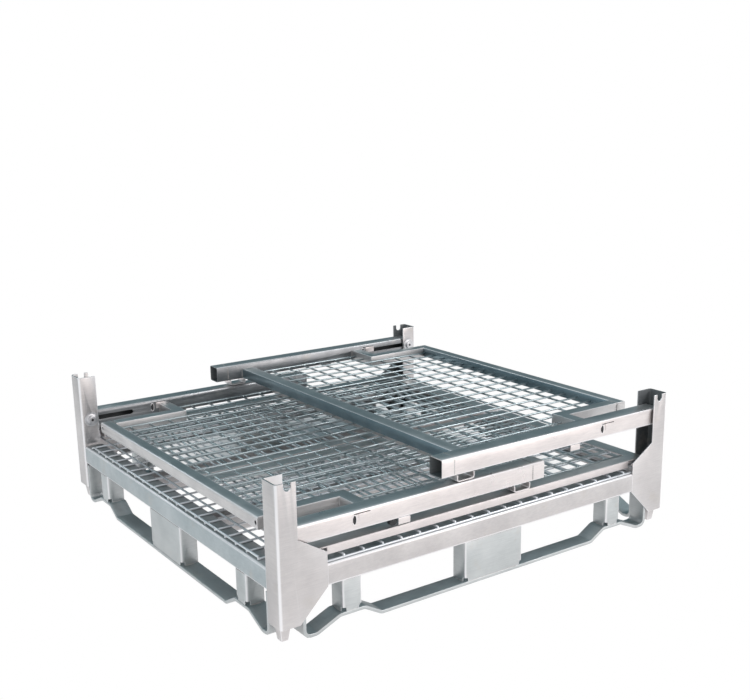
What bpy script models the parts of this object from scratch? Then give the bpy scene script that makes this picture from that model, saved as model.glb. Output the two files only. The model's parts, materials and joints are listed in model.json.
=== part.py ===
"""Folding wire mesh container, folded flat: pallet base, two end walls and two side walls.

Units are metres, +Z up. The origin is on the ground at the centre of the footprint. X runs along
the longer side, and the end walls fold about axes parallel to Y.
"""

import math

import bmesh
import bpy
from mathutils import Vector

# ---------------------------------------------------------------- driving dimensions
LENGTH = 1.156
WIDTH = 1.148
HEIGHT = 0.354
GAP = 0.0003
CUT_MARGIN = 0.002

# how finely bends and rounds are stepped
BEND_STEPS = 3
TUBE_BEND_STEPS = 2
HOLE_SIDES = 24
VENT_SIDES = 12
ROD_SIDES = 12
CHEEK_HOLE_SIDES = 16
PIN_SIDES = 16

# corner posts: folded sheet channels that stand on stacking feet
SHEET = 0.004
POST_BOTTOM = 0.038
POST_WEB = 0.058
POST_FLANGE = 0.048
POST_BEND = 0.007
NOTCH_STEPS = 4
GUSSET_REACH = 0.117
GUSSET_TOP_OUTER = 0.184
GUSSET_TOP_INNER = 0.227
GUSSET_LOW_OUTER = 0.107
NOTCH_WIDTH = 0.018
NOTCH_DEPTH = 0.018
INNER_FLANGE_BOTTOM = 0.163
PIVOT_INSET = 0.028

FOOT_TOP = 0.062
FOOT_TIP = 0.003
FOOT_TOP_SIZE = (0.032, 0.034)
FOOT_TIP_SIZE = (0.016, 0.018)

# base rails, bearers and the floor
RAIL_BOTTOM = 0.107
RAIL_TOP = 0.157
RAIL_FLANGE = 0.050
RAIL_LIP = 0.040
RAIL_BEND = 0.006
SIDE_RAIL_INSET = 0.003
BEARER_WIDTH = 0.050
BEARER_SHEET = 0.003
BEARER_OFFSET = 0.174
BEARER_BEND = 0.005
WIRE = 0.005
WIRE_BAR = 0.006
FLOOR_INSET = (0.0115, 0.0075)
FLOOR_CELLS = (11, 11)

# runners: a flat bar bent up over the end blocks
RUNNER_THICKNESS = 0.008
RUNNER_WIDTH = 0.046
RUNNER_INSET = 0.0045
RUNNER_PLATEAU = 0.025
RUNNER_CORNER = 0.014
RUNNER_BEND = 0.020
STRAP_TOP = 0.103
STRAP_FROM_END = 0.060
STRAP_FROM_SIDE = 0.063
DIP_END = 0.090
PLATEAU_SPAN = (0.148, 0.212)
FLAT_START = 0.256

# blocks: folded sheet channels between the rails and the runners
BLOCK_SHEET = 0.003
BLOCK_DEPTH = 0.044
BLOCK_INSET = 0.005
BLOCK_NOTCH = 0.009
BLOCK_BEND = 0.006
BLOCK_BEND_STEPS = 2
CENTRE_BLOCK_WIDTH = 0.176
END_BLOCK_SPAN = (0.155, 0.205)

# end walls
TUBE = 0.045
TUBE_WALL = 0.0025
TUBE_CORNER = 0.005
TUBE_SIDE_CLEARANCE = 0.0065
TUBE_END = 0.705
TUBE_ROUND = 0.0222
ROUND_END_STEPS = 12
SLOT_HEIGHT = 0.013
INNER_TOP = 0.0085
INNER_HEIGHT = 0.030
INNER_WALL = 0.0025
INNER_CORNER = 0.004
TOP_RAIL_START = 0.581
TOP_RAIL_WIDTH = 0.040
BOTTOM_RAIL_WIDTH = 0.032
VENT_INSET = 0.0085
VENT_RADIUS = 0.005
STILE_OFFSET = 0.132
STILE_WIDTH = 0.032
WALL_MESH_RISE = -0.010
KEEPER_SPAN = (0.611, 0.661)
KEEPER_DROP = 0.0165
KEEPER_SHEET = 0.0025
KEEPER_BEND = 0.006
LEFT_PIVOT_Z = 0.2325
RIGHT_PIVOT_Z = 0.2965
LEFT_WALL = {"bottom_rail": -0.001, "pocket_end": 0.206, "slot_end": 0.126}
RIGHT_WALL = {"bottom_rail": -0.017, "pocket_end": 0.190, "slot_end": 0.145}
WALL_ROWS = 9
WALL_COLUMNS = 4

# pivot pins
PIN_RADIUS = 0.006
PIN_REACH = 0.015
WASHER_RADIUS = 0.020
WASHER_THICKNESS = 0.003
COLLAR_RADIUS = 0.012
COLLAR_HEIGHT = 0.006
COLLAR_CHAMFER = 0.001
SOCKET_RADIUS = 0.0035
SOCKET_DEPTH = 0.005

# side walls
SIDE_WALL_END_CLEARANCE = 0.062
SIDE_WALL_INSET = 0.012
SIDE_WALL_DEPTH = 0.554
SIDE_WALL_BOTTOM = 0.172
SIDE_WALL_TOP = 0.191
SIDE_WALL_SHEET = 0.003
SIDE_WALL_FLANGE = 0.038
SIDE_LEG_CUT_BACK = 0.062
SIDE_MESH_CELLS = (10, 5)
SIDE_HINGE_INSET = 0.021
SIDE_HINGE_Z = 0.1805
SIDE_HINGE_RADIUS = 0.004
CHEEK_THICKNESS = 0.003
CHEEK_HOLE = 0.0048
LUG_THICKNESS = 0.004
LUG_WIDTH = 0.020

HALF_X = LENGTH / 2
HALF_Y = WIDTH / 2
PIVOT_X = HALF_X - PIVOT_INSET
TUBE_Y = HALF_Y - TUBE_SIDE_CLEARANCE - TUBE / 2


# ---------------------------------------------------------------- scene and materials
def clear_scene():
    for obj in list(bpy.data.objects):
        bpy.data.objects.remove(obj, do_unlink=True)


def new_collection(name):
    group = bpy.data.collections.new(name)
    bpy.context.scene.collection.children.link(group)
    return group


def steel(name, color, roughness, metallic):
    mat = bpy.data.materials.new(name)
    mat.use_nodes = True
    shader = mat.node_tree.nodes["Principled BSDF"]
    shader.inputs["Base Color"].default_value = (*color, 1.0)
    shader.inputs["Roughness"].default_value = roughness
    shader.inputs["Metallic"].default_value = metallic
    return mat


clear_scene()
PARTS = new_collection("wire_mesh_container")
CUTTERS = new_collection("cutters")
MATERIALS = {
    "post_steel": steel("post_steel", (0.66, 0.65, 0.66), 0.38, 0.85),
    "rail_steel": steel("rail_steel", (0.62, 0.62, 0.62), 0.42, 0.85),
    "block_steel": steel("block_steel", (0.58, 0.62, 0.64), 0.40, 0.85),
    "runner_steel": steel("runner_steel", (0.55, 0.58, 0.59), 0.42, 0.85),
    "tube_steel": steel("tube_steel", (0.68, 0.65, 0.64), 0.36, 0.85),
    "frame_steel": steel("frame_steel", (0.60, 0.61, 0.61), 0.40, 0.85),
    "wire_steel": steel("wire_steel", (0.60, 0.63, 0.65), 0.32, 0.90),
    "pin_steel": steel("pin_steel", (0.55, 0.56, 0.58), 0.30, 0.95),
}


def empty_axis(name, location):
    """An empty on a hinge axis. The moving pieces are its children."""
    axis = bpy.data.objects.new(name, None)
    axis.location = location
    PARTS.objects.link(axis)
    return axis


def keep(obj, material, parent=None):
    """Put an object among the parts with its material, under its hinge axis if it moves."""
    for group in list(obj.users_collection):
        group.objects.unlink(obj)
    PARTS.objects.link(obj)
    obj.data.materials.clear()
    obj.data.materials.append(MATERIALS[material])
    if parent is not None:
        obj.parent = parent
        obj.location = obj.location - parent.location
    return obj


def as_cutter(obj):
    for group in list(obj.users_collection):
        group.objects.unlink(obj)
    CUTTERS.objects.link(obj)
    obj.hide_render = True
    obj.display_type = "WIRE"
    return obj


def boolean(obj, other, operation):
    mod = obj.modifiers.new(operation.lower(), "BOOLEAN")
    mod.operation = operation
    mod.solver = "EXACT"
    mod.object = as_cutter(other)
    return obj


# ---------------------------------------------------------------- outlines and solids
def fillet(corners, closed=True, steps=BEND_STEPS):
    """Round the corners of a path. A corner is (a, b) when sharp and (a, b, radius) when round."""
    points = []
    count = len(corners)
    for i, corner in enumerate(corners):
        here = Vector(corner[:2])
        radius = corner[2] if len(corner) > 2 else 0.0
        at_end = not closed and i in (0, count - 1)
        if radius == 0.0 or at_end:
            points.append(here)
            continue
        to_prev = (Vector(corners[i - 1][:2]) - here).normalized()
        to_next = (Vector(corners[(i + 1) % count][:2]) - here).normalized()
        half = to_prev.angle(to_next) / 2
        centre = here + (to_prev + to_next).normalized() * radius / math.sin(half)
        start = here + to_prev * radius / math.tan(half) - centre
        end = here + to_next * radius / math.tan(half) - centre
        turn = start.angle_signed(end)
        for k in range(steps + 1):
            angle = -turn * k / steps
            cos, sin = math.cos(angle), math.sin(angle)
            arm = Vector((start.x * cos - start.y * sin, start.x * sin + start.y * cos))
            points.append(centre + arm)
    return points


def rectangle(width, height, radius=0.0, centre=(0.0, 0.0)):
    corners = []
    for a, b in ((-1, -1), (1, -1), (1, 1), (-1, 1)):
        corners.append((centre[0] + a * width / 2, centre[1] + b * height / 2, radius))
    return fillet(corners, steps=TUBE_BEND_STEPS)


ROTATIONS = {
    "X": (math.pi / 2, 0.0, math.pi / 2),
    "Y": (math.pi / 2, 0.0, 0.0),
    "Z": (0.0, 0.0, 0.0),
}


def prism(name, loops, depth, axis, location):
    """A flat outline with holes, pushed through half its depth each way along an axis.

    The outline lies in YZ for axis X, in XZ for axis Y and in XY for axis Z.
    """
    curve = bpy.data.curves.new(name + "_outline", "CURVE")
    curve.dimensions = "2D"
    curve.fill_mode = "BOTH"
    curve.extrude = depth / 2
    for loop in loops:
        spline = curve.splines.new("POLY")
        spline.points.add(len(loop) - 1)
        for point, corner in zip(spline.points, loop):
            point.co = (corner[0], corner[1], 0.0, 1.0)
        spline.use_cyclic_u = True
    source = bpy.data.objects.new(name + "_source", curve)
    PARTS.objects.link(source)
    evaluated = source.evaluated_get(bpy.context.evaluated_depsgraph_get())
    mesh = bpy.data.meshes.new_from_object(evaluated)
    bpy.data.objects.remove(source, do_unlink=True)
    mesh.name = name
    bm = bmesh.new()
    bm.from_mesh(mesh)
    bmesh.ops.remove_doubles(bm, verts=bm.verts, dist=0.00001)
    bmesh.ops.recalc_face_normals(bm, faces=bm.faces)
    bm.to_mesh(mesh)
    bm.free()
    obj = bpy.data.objects.new(name, mesh)
    obj.rotation_euler = ROTATIONS[axis]
    obj.location = location
    PARTS.objects.link(obj)
    return obj


def box(name, size, location):
    bm = bmesh.new()
    bmesh.ops.create_cube(bm, size=1.0)
    bmesh.ops.scale(bm, vec=size, verts=bm.verts)
    mesh = bpy.data.meshes.new(name)
    bm.to_mesh(mesh)
    bm.free()
    obj = bpy.data.objects.new(name, mesh)
    obj.location = location
    PARTS.objects.link(obj)
    return obj


def drum(name, radius, depth, axis, location, segments=HOLE_SIDES):
    bm = bmesh.new()
    bmesh.ops.create_cone(
        bm, cap_ends=True, segments=segments, radius1=radius, radius2=radius, depth=depth
    )
    mesh = bpy.data.meshes.new(name)
    bm.to_mesh(mesh)
    bm.free()
    obj = bpy.data.objects.new(name, mesh)
    obj.rotation_euler = ROTATIONS[axis]
    obj.location = location
    PARTS.objects.link(obj)
    return obj


def lattice(name, xs, ys, bar, thickness, location, skip_cell=None):
    """A flat grille: bars centred on the lines xs and ys, thick in Z, with open cells.

    skip_cell(i, j) is true for a cell that is missing with its outer bars.
    """
    def wanted(i, j):
        inside = 0 <= i < len(xs) - 1 and 0 <= j < len(ys) - 1
        return inside and not (skip_cell is not None and skip_cell(i, j))

    def edges(lines):
        return [side for line in lines for side in (line - bar / 2, line + bar / 2)]

    bm = bmesh.new()
    grid = {}
    columns, rows = edges(xs), edges(ys)

    def corner(a, b):
        if (a, b) not in grid:
            grid[a, b] = bm.verts.new((columns[a], rows[b], 0.0))
        return grid[a, b]

    def quad(a, b):
        bm.faces.new((corner(a, b), corner(a + 1, b), corner(a + 1, b + 1), corner(a, b + 1)))

    for i in range(len(xs)):
        for j in range(len(ys)):
            around = [wanted(i - di, j - dj) for di in (0, 1) for dj in (0, 1)]
            if any(around):
                quad(2 * i, 2 * j)
            if wanted(i, j) or wanted(i, j - 1):
                quad(2 * i + 1, 2 * j)
            if wanted(i, j) or wanted(i - 1, j):
                quad(2 * i, 2 * j + 1)
    mesh = bpy.data.meshes.new(name)
    bm.to_mesh(mesh)
    bm.free()
    obj = bpy.data.objects.new(name, mesh)
    obj.location = location
    shell = obj.modifiers.new("bars", "SOLIDIFY")
    shell.thickness = thickness
    shell.offset = 0.0
    PARTS.objects.link(obj)
    return obj


def spaced(start, end, cells):
    return [start + (end - start) * k / cells for k in range(cells + 1)]


# ---------------------------------------------------------------- corner posts and feet
def corner_point(sx, sy, inward_x, inward_y):
    """World X and Y of a point given by its distances inward from a corner of the footprint."""
    return sx * (HALF_X - inward_x), sy * (HALF_Y - inward_y)


def corner_post(name, sx, sy, pivot_z):
    """A channel open towards the middle of the long side, with a gusset on its outer flange."""
    plan = [
        (0.0, 0.0, POST_BEND),
        (GUSSET_REACH, 0.0),
        (GUSSET_REACH, SHEET),
        (SHEET, SHEET, POST_BEND - SHEET),
        (SHEET, POST_WEB - SHEET, POST_BEND - SHEET),
        (POST_FLANGE, POST_WEB - SHEET),
        (POST_FLANGE, POST_WEB),
        (0.0, POST_WEB, POST_BEND),
    ]
    outline = [(-sx * a, -sy * b) for a, b in fillet(plan)]
    height = HEIGHT - POST_BOTTOM
    corner = corner_point(sx, sy, 0.0, 0.0)
    post = prism(name, [outline], height, "Z", (*corner, POST_BOTTOM + height / 2))

    far = GUSSET_REACH + CUT_MARGIN
    over = HEIGHT + CUT_MARGIN
    under = POST_BOTTOM - CUT_MARGIN
    above = [
        (POST_FLANGE, over),
        (POST_FLANGE, GUSSET_TOP_INNER),
        (GUSSET_REACH, GUSSET_TOP_OUTER),
        (far, GUSSET_TOP_OUTER),
        (far, over),
    ]
    below = [
        (POST_FLANGE, under),
        (POST_FLANGE, POST_BOTTOM),
        (GUSSET_REACH, GUSSET_LOW_OUTER),
        (far, GUSSET_LOW_OUTER),
        (far, under),
    ]
    notch = fillet([
        (PIVOT_INSET - NOTCH_WIDTH / 2, over),
        (PIVOT_INSET - NOTCH_WIDTH / 2, HEIGHT - NOTCH_DEPTH, NOTCH_WIDTH / 2 - GAP),
        (PIVOT_INSET + NOTCH_WIDTH / 2, HEIGHT - NOTCH_DEPTH, NOTCH_WIDTH / 2 - GAP),
        (PIVOT_INSET + NOTCH_WIDTH / 2, over),
    ], steps=NOTCH_STEPS)
    for label, shape in (("above", above), ("below", below), ("notch", notch)):
        loop = [(-sx * a, z) for a, z in shape]
        depth = 2 * (SHEET + CUT_MARGIN)
        boolean(post, prism(f"{name}_{label}", [loop], depth, "Y", (*corner, 0.0)), "DIFFERENCE")

    flange_y = sy * (HALF_Y - POST_WEB + SHEET / 2)
    flange_reach = POST_FLANGE - POST_BEND + CUT_MARGIN
    low_height = INNER_FLANGE_BOTTOM - under
    low = box(
        name + "_low",
        (flange_reach, SHEET + 2 * CUT_MARGIN, low_height),
        (sx * (HALF_X - POST_BEND - flange_reach / 2), flange_y, under + low_height / 2),
    )
    boolean(post, low, "DIFFERENCE")
    hole_at = (sx * PIVOT_X, flange_y, pivot_z)
    hole = drum(name + "_hole", PIN_RADIUS + GAP, SHEET + 2 * CUT_MARGIN, "Y", hole_at)
    boolean(post, hole, "DIFFERENCE")
    return keep(post, "post_steel")


def stacking_foot(name, sx, sy):
    """A hollow tapered spigot under a post, open at the top."""
    bm = bmesh.new()
    bmesh.ops.create_cube(bm, size=1.0)
    height = FOOT_TOP - FOOT_TIP
    for vert in bm.verts:
        size = FOOT_TOP_SIZE if vert.co.z > 0 else FOOT_TIP_SIZE
        vert.co = Vector((vert.co.x * size[0], vert.co.y * size[1], vert.co.z * height))
    lid = [face for face in bm.faces if face.normal.z > 0.9]
    bmesh.ops.delete(bm, geom=lid, context="FACES_ONLY")
    mesh = bpy.data.meshes.new(name)
    bm.to_mesh(mesh)
    bm.free()
    foot = bpy.data.objects.new(name, mesh)
    x, y = corner_point(sx, sy, SHEET + GAP + FOOT_TOP_SIZE[0] / 2, POST_WEB / 2)
    foot.location = (x, y, FOOT_TIP + height / 2)
    shell = foot.modifiers.new("sheet", "SOLIDIFY")
    shell.thickness = BLOCK_SHEET
    shell.offset = -1.0
    shell.use_even_offset = True
    PARTS.objects.link(foot)
    return keep(foot, "post_steel")


# ---------------------------------------------------------------- base
def base_rail(name, length, axis, side):
    """A folded channel, open inwards. side is the sign of the outer face."""
    inset = 0.0 if axis == "X" else SIDE_RAIL_INSET
    outer = (HALF_Y if axis == "X" else HALF_X) - inset
    section = [
        (0.0, RAIL_BOTTOM, RAIL_BEND),
        (RAIL_LIP, RAIL_BOTTOM),
        (RAIL_LIP, RAIL_BOTTOM + SHEET),
        (SHEET, RAIL_BOTTOM + SHEET, RAIL_BEND - SHEET),
        (SHEET, RAIL_TOP - SHEET, RAIL_BEND - SHEET),
        (RAIL_FLANGE, RAIL_TOP - SHEET),
        (RAIL_FLANGE, RAIL_TOP),
        (0.0, RAIL_TOP, RAIL_BEND),
    ]
    outline = [(side * (outer - a), z) for a, z in fillet(section)]
    return keep(prism(name, [outline], length, axis, (0.0, 0.0, 0.0)), "rail_steel")


def bearer(name, side):
    """An upward channel that carries the floor mesh between the left and right rails."""
    bottom, top = RAIL_BOTTOM + SHEET, RAIL_TOP - GAP
    half = BEARER_WIDTH / 2
    section = [
        (-half, top),
        (-half, bottom, BEARER_BEND),
        (half, bottom, BEARER_BEND),
        (half, top),
        (half - BEARER_SHEET, top),
        (half - BEARER_SHEET, bottom + BEARER_SHEET, BEARER_BEND - BEARER_SHEET),
        (-half + BEARER_SHEET, bottom + BEARER_SHEET, BEARER_BEND - BEARER_SHEET),
        (-half + BEARER_SHEET, top),
    ]
    length = LENGTH - 2 * (SIDE_RAIL_INSET + RAIL_FLANGE + GAP)
    place = (0.0, side * BEARER_OFFSET, 0.0)
    return keep(prism(name, [fillet(section)], length, "X", place), "rail_steel")


def runner_path(half_length, strap):
    """Centre line of half a runner, from the top of its strap to the middle of the side."""
    low = RUNNER_THICKNESS / 2
    high = RUNNER_PLATEAU + RUNNER_THICKNESS / 2
    path = [
        (strap, STRAP_TOP),
        (strap, low, RUNNER_CORNER),
        (DIP_END, low, RUNNER_BEND),
        (PLATEAU_SPAN[0], high, RUNNER_BEND),
        (PLATEAU_SPAN[1], high, RUNNER_BEND),
        (FLAT_START, low, RUNNER_CORNER),
        (half_length, low),
    ]
    return fillet(path, closed=False)


def runner(name, half_length, strap, axis, side):
    """A wide flat bar bent along one side of the base. axis is the direction that it runs in."""
    half = [(distance - half_length, z) for distance, z in runner_path(half_length, strap)]
    line = half + [(-a, z) for a, z in reversed(half[:-1])]
    near = RUNNER_INSET
    far = RUNNER_INSET + RUNNER_WIDTH
    bm = bmesh.new()
    rows = []
    for a, z in line:
        pair = []
        for across in (near, far):
            if axis == "X":
                spot = (a, side * (HALF_Y - across), z)
            else:
                spot = (side * (HALF_X - across), a, z)
            pair.append(bm.verts.new(spot))
        rows.append(pair)
    for first, second in zip(rows, rows[1:]):
        bm.faces.new((first[0], first[1], second[1], second[0]))
    mesh = bpy.data.meshes.new(name)
    bm.to_mesh(mesh)
    bm.free()
    bar = bpy.data.objects.new(name, mesh)
    shell = bar.modifiers.new("thickness", "SOLIDIFY")
    shell.thickness = RUNNER_THICKNESS
    shell.offset = 0.0
    shell.use_even_offset = True
    PARTS.objects.link(bar)
    return keep(bar, "runner_steel")


def block(name, axis, side, start, end, bottom):
    """A folded channel, open inwards, from start to end along a side, under the base rail.

    Its outer bends are notched at the bottom so that zinc can drain.
    """
    half = (end - start) / 2
    middle = (start + end) / 2
    plan = [
        (-half, 0.0, BLOCK_BEND),
        (half, 0.0, BLOCK_BEND),
        (half, BLOCK_DEPTH),
        (half - BLOCK_SHEET, BLOCK_DEPTH),
        (half - BLOCK_SHEET, BLOCK_SHEET, BLOCK_BEND - BLOCK_SHEET),
        (-half + BLOCK_SHEET, BLOCK_SHEET, BLOCK_BEND - BLOCK_SHEET),
        (-half + BLOCK_SHEET, BLOCK_DEPTH),
        (-half, BLOCK_DEPTH),
    ]
    top = RAIL_BOTTOM - GAP
    height = top - bottom
    rounded = fillet(plan, steps=BLOCK_BEND_STEPS)
    if axis == "X":
        outline = [(a, -side * depth) for a, depth in rounded]
        place = (middle, side * (HALF_Y - BLOCK_INSET), bottom + height / 2)
    else:
        outline = [(-side * depth, a) for a, depth in rounded]
        place = (side * (HALF_X - BLOCK_INSET), middle, bottom + height / 2)
    sheet = prism(name, [outline], height, "Z", place)
    size = (2 * BLOCK_NOTCH, 2 * BLOCK_NOTCH, 2 * BLOCK_NOTCH)
    for sign in (-1, 1):
        along = sign * half
        spot = (middle + along, place[1], bottom) if axis == "X" else (place[0], middle + along, bottom)
        boolean(sheet, box(f"{name}_notch_{sign}", size, spot), "DIFFERENCE")
    return keep(sheet, "block_steel")


def floor_mesh():
    """The floor grille. Its corners are cut out round the posts."""
    reach_x, reach_y = HALF_X - FLOOR_INSET[0], HALF_Y - FLOOR_INSET[1]
    xs = spaced(-reach_x, reach_x, FLOOR_CELLS[0])
    ys = spaced(-reach_y, reach_y, FLOOR_CELLS[1])

    def is_corner(i, j):
        return i in (0, FLOOR_CELLS[0] - 1) and j in (0, FLOOR_CELLS[1] - 1)

    place = (0.0, 0.0, RAIL_TOP + GAP + WIRE / 2)
    return keep(lattice("floor_mesh", xs, ys, WIRE_BAR, WIRE, place, is_corner), "wire_steel")


# ---------------------------------------------------------------- pivot pins
def pivot_pin(name, sx, sy, pivot_z):
    """A headed pin through the inner flange of a post, with a washer, into the wall's tube."""
    flange_face = HALF_Y - POST_WEB
    head_y = flange_face - GAP
    inner_end = HALF_Y - TUBE_SIDE_CLEARANCE - TUBE + TUBE_WALL + PIN_REACH
    stages = [
        (0.0, head_y - WASHER_THICKNESS - COLLAR_HEIGHT + SOCKET_DEPTH),
        (SOCKET_RADIUS, head_y - WASHER_THICKNESS - COLLAR_HEIGHT + SOCKET_DEPTH),
        (SOCKET_RADIUS, head_y - WASHER_THICKNESS - COLLAR_HEIGHT),
        (COLLAR_RADIUS - COLLAR_CHAMFER, head_y - WASHER_THICKNESS - COLLAR_HEIGHT),
        (COLLAR_RADIUS, head_y - WASHER_THICKNESS - COLLAR_HEIGHT + COLLAR_CHAMFER),
        (COLLAR_RADIUS, head_y - WASHER_THICKNESS),
        (WASHER_RADIUS, head_y - WASHER_THICKNESS),
        (WASHER_RADIUS, head_y),
        (PIN_RADIUS, head_y),
        (PIN_RADIUS, inner_end),
        (0.0, inner_end),
    ]
    bm = bmesh.new()
    verts = [bm.verts.new((radius, 0.0, -along)) for radius, along in stages]
    for first, second in zip(verts, verts[1:]):
        bm.edges.new((first, second))
    mesh = bpy.data.meshes.new(name)
    bm.to_mesh(mesh)
    bm.free()
    pin = bpy.data.objects.new(name, mesh)
    pin.location = (sx * PIVOT_X, 0.0, pivot_z)
    pin.rotation_euler = (math.pi / 2, 0.0, 0.0) if sy > 0 else (-math.pi / 2, 0.0, 0.0)
    turn = pin.modifiers.new("turn", "SCREW")
    turn.axis = "Z"
    turn.steps = PIN_SIDES
    turn.render_steps = PIN_SIDES
    turn.use_merge_vertices = True
    turn.merge_threshold = 0.0001
    turn.use_normal_calculate = True
    turn.use_normal_flip = True
    PARTS.objects.link(pin)
    return keep(pin, "pin_steel")


# ---------------------------------------------------------------- end walls
def tube_loops(width, height, corner, wall):
    outer = rectangle(width, height, corner)
    inner = rectangle(width - 2 * wall, height - 2 * wall, corner - wall)
    return [outer, inner]


def outer_tube(name, axis, direction, side, slot_end):
    """A side tube of an end wall: round hinge end, open free end, slot in its inner face."""
    start = -TUBE_ROUND
    length = TUBE_END - start
    middle = axis.location.x + direction * (start + length / 2)
    y = side * TUBE_Y
    z = axis.location.z
    loops = tube_loops(TUBE, TUBE, TUBE_CORNER, TUBE_WALL)
    tube = prism(name, loops, length, "X", (middle, y, z))

    reach = TUBE_END + CUT_MARGIN
    profile = [(0.0, -TUBE), (reach, -TUBE), (reach, TUBE), (0.0, TUBE)]
    for k in range(ROUND_END_STEPS + 1):
        angle = math.pi / 2 + math.pi * k / ROUND_END_STEPS
        profile.append((TUBE_ROUND * math.cos(angle), TUBE_ROUND * math.sin(angle)))
    loop = [(direction * a, b) for a, b in profile]
    hub = (axis.location.x, y, z)
    boolean(tube, prism(name + "_end", [loop], 2 * TUBE, "Y", hub), "INTERSECT")

    start_slot = -SLOT_HEIGHT / 2
    slot_middle = (start_slot + slot_end) / 2
    slot = rectangle(slot_end - start_slot, SLOT_HEIGHT, SLOT_HEIGHT / 2 - GAP, (slot_middle, 0.0))
    slot_loop = [(direction * a, b) for a, b in slot]
    wall_y = side * (TUBE_Y - TUBE / 2)
    cutter = prism(name + "_slot", [slot_loop], 3 * TUBE_WALL, "Y", (axis.location.x, wall_y, z))
    boolean(tube, cutter, "DIFFERENCE")
    return keep(tube, "tube_steel", axis)


def inner_z(axis):
    """Height of the middle of an end wall's inner rails and stiles."""
    return axis.location.z + INNER_TOP - INNER_HEIGHT / 2


def top_rail(name, axis, direction, half_span):
    """The square tube that joins the side tubes near their free ends."""
    x = axis.location.x + direction * (TOP_RAIL_START + TOP_RAIL_WIDTH / 2)
    loops = tube_loops(TOP_RAIL_WIDTH, INNER_HEIGHT, INNER_CORNER, INNER_WALL)
    rail = prism(name, loops, 2 * half_span, "Y", (x, 0.0, inner_z(axis)))
    return keep(rail, "frame_steel", axis)


def bottom_rail(name, axis, direction, start, half_span):
    """A closed square tube beside the hinges, with a vent hole near each end of its outer face."""
    x = axis.location.x + direction * (start + BOTTOM_RAIL_WIDTH / 2)
    z = inner_z(axis)
    outer, inner = tube_loops(BOTTOM_RAIL_WIDTH, INNER_HEIGHT, INNER_CORNER, INNER_WALL)
    rail = prism(name, [outer], 2 * half_span, "Y", (x, 0.0, z))
    hollow = prism(name + "_hollow", [inner], 2 * (half_span - INNER_WALL), "Y", (x, 0.0, z))
    boolean(rail, hollow, "DIFFERENCE")
    face_x = axis.location.x + direction * start
    for side in (-1, 1):
        spot = (face_x, side * (half_span - VENT_INSET), z)
        vent = drum(f"{name}_vent_{side}", VENT_RADIUS, 3 * INNER_WALL, "X", spot, VENT_SIDES)
        boolean(rail, vent, "DIFFERENCE")
    return keep(rail, "frame_steel", axis)


def inner_stile(name, axis, direction, side, start, end):
    """A short box stile beside the post's flange, turned outwards at its end to meet the tube.

    It is open where it meets the bottom rail.
    """
    near = HALF_Y - STILE_OFFSET
    far = near - STILE_WIDTH
    jog = HALF_Y - TUBE_SIDE_CLEARANCE - TUBE - GAP

    def plan(inset, mouth):
        corners = [
            (mouth, near - inset),
            (end + inset, near - inset),
            (end + inset, jog - inset),
            (end + STILE_WIDTH - inset, jog - inset),
            (end + STILE_WIDTH - inset, far + inset),
            (mouth, far + inset),
        ]
        return [(direction * a, side * b) for a, b in corners]

    place = (axis.location.x, 0.0, inner_z(axis))
    stile = prism(name, [plan(0.0, start)], INNER_HEIGHT, "Z", place)
    hollow = plan(INNER_WALL, start - CUT_MARGIN)
    bore = prism(name + "_hollow", [hollow], INNER_HEIGHT - 2 * INNER_WALL, "Z", place)
    boolean(stile, bore, "DIFFERENCE")
    return keep(stile, "frame_steel", axis)


def keeper(name, axis, direction, side):
    """A U of flat bar welded under a side tube near its free end."""
    start, end = KEEPER_SPAN
    top = -TUBE / 2 - GAP
    bottom = top - KEEPER_DROP + GAP
    section = [
        (start, top),
        (start, bottom, KEEPER_BEND),
        (end, bottom, KEEPER_BEND),
        (end, top),
        (end - KEEPER_SHEET, top),
        (end - KEEPER_SHEET, bottom + KEEPER_SHEET, KEEPER_BEND - KEEPER_SHEET),
        (start + KEEPER_SHEET, bottom + KEEPER_SHEET, KEEPER_BEND - KEEPER_SHEET),
        (start + KEEPER_SHEET, top),
    ]
    loop = [(direction * a, b) for a, b in fillet(section)]
    place = (axis.location.x, side * TUBE_Y, axis.location.z)
    return keep(prism(name, [loop], TUBE, "Y", place), "tube_steel", axis)


def wall_mesh(name, axis, direction, shape):
    """The grille of an end wall. It narrows between the inner stiles."""
    half_bar = WIRE_BAR / 2
    outer = HALF_Y - TUBE_SIDE_CLEARANCE - TUBE - GAP - half_bar
    inner = HALF_Y - STILE_OFFSET - STILE_WIDTH - GAP - half_bar
    start = shape["bottom_rail"] + BOTTOM_RAIL_WIDTH + GAP + half_bar
    step = shape["pocket_end"] + STILE_WIDTH + GAP + half_bar
    end = TOP_RAIL_START - GAP - half_bar
    us = [start, (start + step) / 2] + spaced(step, end, WALL_COLUMNS)
    xs = sorted(direction * u for u in us)
    ys = [-outer] + spaced(-inner, inner, WALL_ROWS) + [outer]

    def in_pocket(i, j):
        near_hinge = xs[i] if direction > 0 else -xs[i + 1]
        return j in (0, len(ys) - 2) and near_hinge < step - half_bar

    place = (axis.location.x, 0.0, axis.location.z + WALL_MESH_RISE)
    grille = lattice(name, xs, ys, WIRE_BAR, WIRE, place, in_pocket)
    return keep(grille, "wire_steel", axis)


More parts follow.
